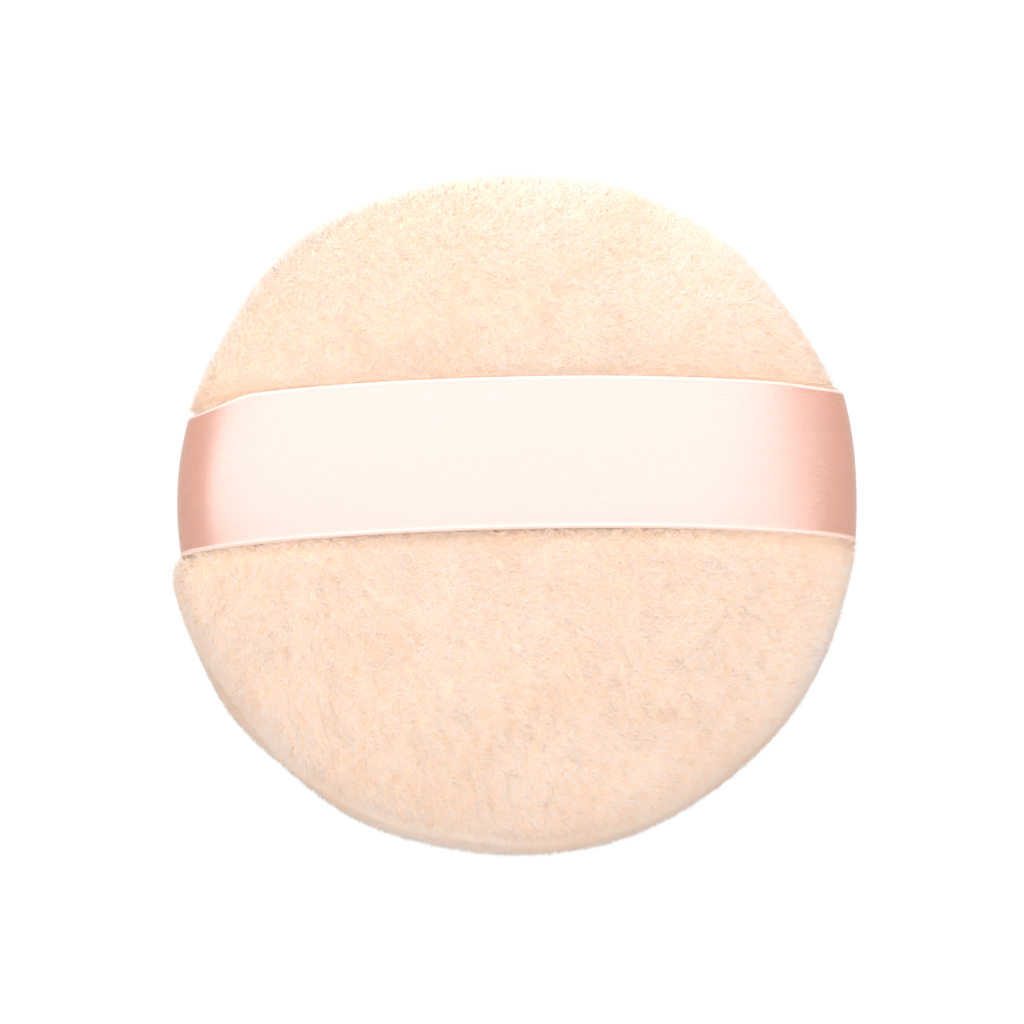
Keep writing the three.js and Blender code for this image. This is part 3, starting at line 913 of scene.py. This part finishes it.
def ribbon_middle(run, across, pad, ribbon):
    """Middle surface of the ribbon, from run -1 at one tail's end to 1 at the other, and across from its middle line.
    Over the crown x is the half chord times the sine of an even angle and z follows the dome; then a quarter of an
    ellipse rolls in to the seam, and the tail runs in flat. The pad's trough then moves it, as it moves the pile."""
    run, across = np.broadcast_arrays(run, across)
    gone = np.abs(run)
    sine = np.sin(np.minimum(gone / RIBBON_DOME, 1) * np.pi / 2)
    reach = pad.radius + ribbon.stand_off
    plan = np.sign(run) * pad.radius * sine
    narrow = ribbon_half(plan, 1, pad, ribbon) / (ribbon.width / 2) - 1
    across = across * (1 + smoothstep(across, 0, ribbon.width / 2) * narrow)
    y = ribbon_line(plan, pad, ribbon) + across
    straight = np.where(run < 0, ribbon.left_straight, ribbon.right_straight)
    curved = np.sqrt(reach**2 - y**2)
    chord = between(curved, np.sqrt(reach**2 - (y - across) ** 2), straight)
    rim = pad.seam_height + pad.rim_rise
    x = chord * sine
    part = np.minimum(np.hypot(sine * curved, y) / reach, 1)
    z = rim + (pad.thickness - rim + ribbon.stand_off) * dome(part, fullness_at(np.sign(run) * x / reach, pad))
    turn = np.clip((gone - RIBBON_DOME) / (RIBBON_ROLL - RIBBON_DOME), 0, 1) * np.pi / 2
    tail = np.maximum(0, (gone - RIBBON_ROLL) / (1 - RIBBON_ROLL))
    rolled = gone > RIBBON_DOME
    x = np.where(rolled, chord - (pad.seam_tuck + ribbon.stand_off) * (1 - np.cos(turn)) - ribbon.tail * tail, x)
    z = np.where(rolled, between(rim, pad.seam_height, np.sin(turn)), z)
    return held(np.stack([np.sign(run) * x, y, z], -1), 1 - np.sin(turn), pad, ribbon)


def ribbon_band(pad, ribbon):
    """The ribbon as a closed band, with its map: a section with full rounded selvedges is carried along the middle
    surface on that surface's normals. The map runs along the length one way and round the section the other."""
    half, thick = ribbon.width / 2, ribbon.thickness / 2
    flat = half - ribbon.selvedge
    bend = ribbon.selvedge * np.sin(np.linspace(0, 1, RIBBON_ROUND + 1)[1:] * np.pi / 2)
    across = np.concatenate([-flat - bend[::-1], np.linspace(-1, 1, RIBBON_ACROSS) * flat, flat + bend])
    into = np.clip((half - np.abs(across)) / ribbon.selvedge, 0, 1)
    rise = thick * (np.sqrt(1 - (1 - into) ** 2) * (1 + SELVEDGE_BEAD * np.sin(np.pi * into)))
    run = np.linspace(-1, 1, RIBBON_STEPS + 1)[:, None]
    middle = ribbon_middle(run, across[None], pad, ribbon)
    normal = np.cross(np.gradient(middle, axis=0), np.gradient(middle, across, axis=1))
    normal = unit(normal)
    ripple, _ = waves(middle.reshape(-1, 3) * RIPPLE_STRETCH, wavelength=0.011, count=8, seed=71)
    end = smoothstep(np.abs(run), *RIPPLE_START) * (1 - smoothstep(np.abs(run), RIBBON_DOME, RIBBON_ROLL))
    ripple = RIPPLE * ripple.reshape(middle.shape[:2]) * (RIPPLE_LEAST + end)
    middle = middle + ripple[..., None] * normal
    top, under = middle + rise[None, :, None] * normal, middle - rise[None, :, None] * normal
    loop = np.concatenate([top, under[:, -2:0:-1]], 1)
    steps, round_it = loop.shape[:2]
    index = np.arange(steps * round_it).reshape(steps, round_it)
    after = np.roll(index, -1, 1)
    sides = halved(index[:-1], after[:-1], after[1:], index[1:])
    wide = len(across)
    upper = np.arange(wide)
    lower = np.concatenate([[0], np.arange(round_it - 1, wide - 1, -1), [wide - 1]])
    caps = []
    for start, flip in ((0, 1), ((steps - 1) * round_it, -1)):
        both = start + halved(upper[:-1], upper[1:], lower[1:], lower[:-1])
        both = both[(both[:, 0] != both[:, 1]) & (both[:, 1] != both[:, 2]) & (both[:, 0] != both[:, 2])]
        caps.append(both[:, ::flip])
    faces = np.concatenate([sides, *caps])
    centre = middle[:, wide // 2]
    travelled = np.concatenate([[0], np.cumsum(np.linalg.norm(np.diff(centre, axis=0), axis=1))])
    around = 0.25 * (1 + across / half)
    around = np.concatenate([around, 1 - around[-2:0:-1]])
    spot = np.stack(np.broadcast_arrays((travelled / travelled[-1])[:, None], around[None]), -1).reshape(-1, 2)
    return loop.reshape(-1, 3), faces, spot, float(travelled[-1])


# Operators

LAMP_AIM = 0.012
BACK_PLACE, BACK_SIZE = Vector((0, 0.19, 0.16)), (0.36, 0.14)
FRONT_PLACE, FRONT_SIZE = Vector((-0.08, -0.4, 0.15)), (1.0, 0.28)
FLOOR_SPOKES, FLOOR_RADII = 96, (0.05, 0.2, 0.8, 3.0)
SENSOR_WIDTH, NEAREST, FURTHEST = 36.0, 0.01, 20.0
SPONGE_SPOKES, SPONGE_RINGS, SPONGE_WAIST = 120, 30, 13
SPONGE_GROOVE, SPONGE_GRAIN = 0.0055, 0.00012


def aimed(name, data, place, way):
    """A lamp or camera at a place that looks along a way."""
    made = bpy.data.objects.new(name, data)
    made.location = place
    made.rotation_mode = "QUATERNION"
    made.rotation_quaternion = way.to_track_quat("-Z", "Y")
    bpy.context.scene.collection.objects.link(made)
    return made


def softbox(name, place, power, width, depth):
    """A soft rectangular lamp that faces the pad and that the camera doesn't see."""
    lamp = bpy.data.lights.new(name, "AREA")
    lamp.shape = "RECTANGLE"
    lamp.energy, lamp.size, lamp.size_y = power, width, depth
    aimed(name, lamp, place, Vector((place.x, 0, LAMP_AIM)) - place).visible_camera = False


class PUFF_OT_stage(bpy.types.Operator):
    """Sets the table, the soft light and the camera"""
    bl_idname = "puff.stage"
    bl_label = "Stage"

    def execute(self, context):
        settings = context.scene.puff
        stage = settings.stage
        scene = context.scene
        scene.view_settings.view_transform = "Standard"
        turn = circle(FLOOR_SPOKES)
        radius = np.array(FLOOR_RADII)[:, None]
        rings = np.stack(np.broadcast_arrays(radius * np.cos(turn), radius * np.sin(turn), 0.0), -1)
        points = np.concatenate([np.zeros((1, 3)), rings.reshape(-1, 3)])
        faces = turned_faces(len(radius), FLOOR_SPOKES)[:-FLOOR_SPOKES]
        floor = mesh_object("floor", points, faces, floor_finish(settings.colours, stage))
        scene.world = studio_world(stage)
        tilt = math.radians(stage.key_tilt)
        above = stage.key_height * Vector((0, math.sin(tilt), math.cos(tilt)))
        softbox("softbox", above + Vector((stage.key_shift, 0, 0)), stage.key_power, stage.key_width, stage.key_depth)
        softbox("back_light", BACK_PLACE, stage.back_power, *BACK_SIZE)
        softbox("front_light", FRONT_PLACE, stage.front_power, *FRONT_SIZE)
        lens = bpy.data.cameras.new("camera")
        lens.sensor_width = SENSOR_WIDTH
        lens.lens = SENSOR_WIDTH * stage.distance / stage.frame_width
        lens.clip_start, lens.clip_end = NEAREST, FURTHEST
        around, up = math.radians(stage.azimuth), math.radians(stage.elevation)
        back_way = Vector((math.sin(around) * math.cos(up), -math.cos(around) * math.cos(up), math.sin(up)))
        place = Vector((0, 0, stage.aim_height)) + stage.distance * back_way
        scene.camera = aimed("camera", lens, place, -back_way)
        return {"FINISHED"}


class PUFF_OT_sponge(bpy.types.Operator):
    """Makes the sponge disc that fills the cover"""
    bl_idname = "puff.sponge"
    bl_label = "Sponge"

    def execute(self, context):
        settings = context.scene.puff
        pad, ribbon = settings.pad, settings.ribbon
        low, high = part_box("sponge_core")
        turn = circle(SPONGE_SPOKES)[None]
        radius = (high.y - low.y) / 2
        rim = pad.seam_height + pad.rim_rise
        base = pad.seam_height - pad.rim_rise
        part = np.sin(np.linspace(0, 1, SPONGE_RINGS) * np.pi / 2)[:, None]
        rise = dome(part, fullness_at(part * np.cos(turn), pad))
        groove = np.linspace(0, np.pi, SPONGE_WAIST)[1:-1, None]
        waist = pad.seam_height + pad.rim_rise * np.cos(groove) + 0 * turn
        out = np.concatenate([radius * part, radius - SPONGE_GROOVE * np.sin(groove), radius * part[::-1]])
        height = np.concatenate([rim + (high.z - rim) * rise, waist, base + (low.z - base) * rise[::-1]])
        rows = held(np.stack([out * np.cos(turn), out * np.sin(turn), height], -1), 0, pad, ribbon)
        grain, _ = waves(rows.reshape(-1, 3), wavelength=0.004, count=14, seed=83)
        rows = rows - (SPONGE_GRAIN * (1 + grain.reshape(rows.shape[:2])))[..., None] * surface_normals(rows)
        sponge = turned_object("sponge", rows, foam_finish(settings.colours))
        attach(sponge, "pad")
        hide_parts("sponge_core")
        return {"FINISHED"}


class PUFF_OT_back(bpy.types.Operator):
    """Makes the back velour panel, the ribbon's side of the puff"""
    bl_idname = "puff.back"
    bl_label = "Back velour"

    def execute(self, context):
        settings = context.scene.puff
        velour_panel(1, "back", "back_panel", settings.pile.back_pieces, settings)
        return {"FINISHED"}


class PUFF_OT_face(bpy.types.Operator):
    """Makes the face velour panel, which takes up the powder"""
    bl_idname = "puff.face"
    bl_label = "Face velour"

    def execute(self, context):
        settings = context.scene.puff
        velour_panel(-1, "face", "face_panel", settings.pile.face_pieces, settings)
        return {"FINISHED"}


class PUFF_OT_ribbon(bpy.types.Operator):
    """Makes the satin ribbon"""
    bl_idname = "puff.ribbon"
    bl_label = "Ribbon"

    def execute(self, context):
        settings = context.scene.puff
        pad, ribbon = settings.pad, settings.ribbon
        points, faces, spot, run_length = ribbon_band(pad, ribbon)
        made = mesh_object("satin_ribbon", points, faces, satin_finish(settings.colours, ribbon, run_length))
        map_onto(made, faces, spot)
        outward(made)
        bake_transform(made)
        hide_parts("ribbon")
        return {"FINISHED"}


class PUFF_OT_threads(bpy.types.Operator):
    """Finishes the sewing threads, which keep their CAD shapes"""
    bl_idname = "puff.threads"
    bl_label = "Threads"

    def execute(self, context):
        material = thread_finish(context.scene.puff.colours)
        for name in THREADS:
            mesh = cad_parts[name].data
            mesh.materials.clear()
            mesh.materials.append(material)
        return {"FINISHED"}


class PUFF_PT_panel(bpy.types.Panel):
    """Lists the puff's pieces and settings in the sidebar"""
    bl_idname = "PUFF_PT_panel"
    bl_label = "Powder puff"
    bl_space_type = "VIEW_3D"
    bl_region_type = "UI"
    bl_category = "Puff"

    def draw(self, context):
        for operator in OPERATORS:
            self.layout.operator(operator.bl_idname)
        settings = context.scene.puff
        for name in ("pad", "pile", "ribbon", "colours", "stage"):
            group = getattr(settings, name)
            column = self.layout.column(heading=name.capitalize())
            for key in group.__annotations__:
                column.prop(group, key)


GROUPS = (PuffPad, PuffPile, PuffRibbon, PuffColours, PuffStage, PuffSettings)
OPERATORS = (PUFF_OT_stage, PUFF_OT_sponge, PUFF_OT_back, PUFF_OT_face, PUFF_OT_ribbon, PUFF_OT_threads)


def register():
    for kind in (*GROUPS, *OPERATORS, PUFF_PT_panel):
        bpy.utils.register_class(kind)
    bpy.types.Scene.puff = PointerProperty(type=PuffSettings)


def unregister():
    del bpy.types.Scene.puff
    for kind in reversed((*GROUPS, *OPERATORS, PUFF_PT_panel)):
        bpy.utils.unregister_class(kind)


def main():
    register()
    bpy.ops.puff.stage()
    bpy.ops.puff.sponge()
    bpy.ops.puff.back()
    bpy.ops.puff.face()
    bpy.ops.puff.ribbon()
    bpy.ops.puff.threads()


if __name__ == "__main__":
    main()
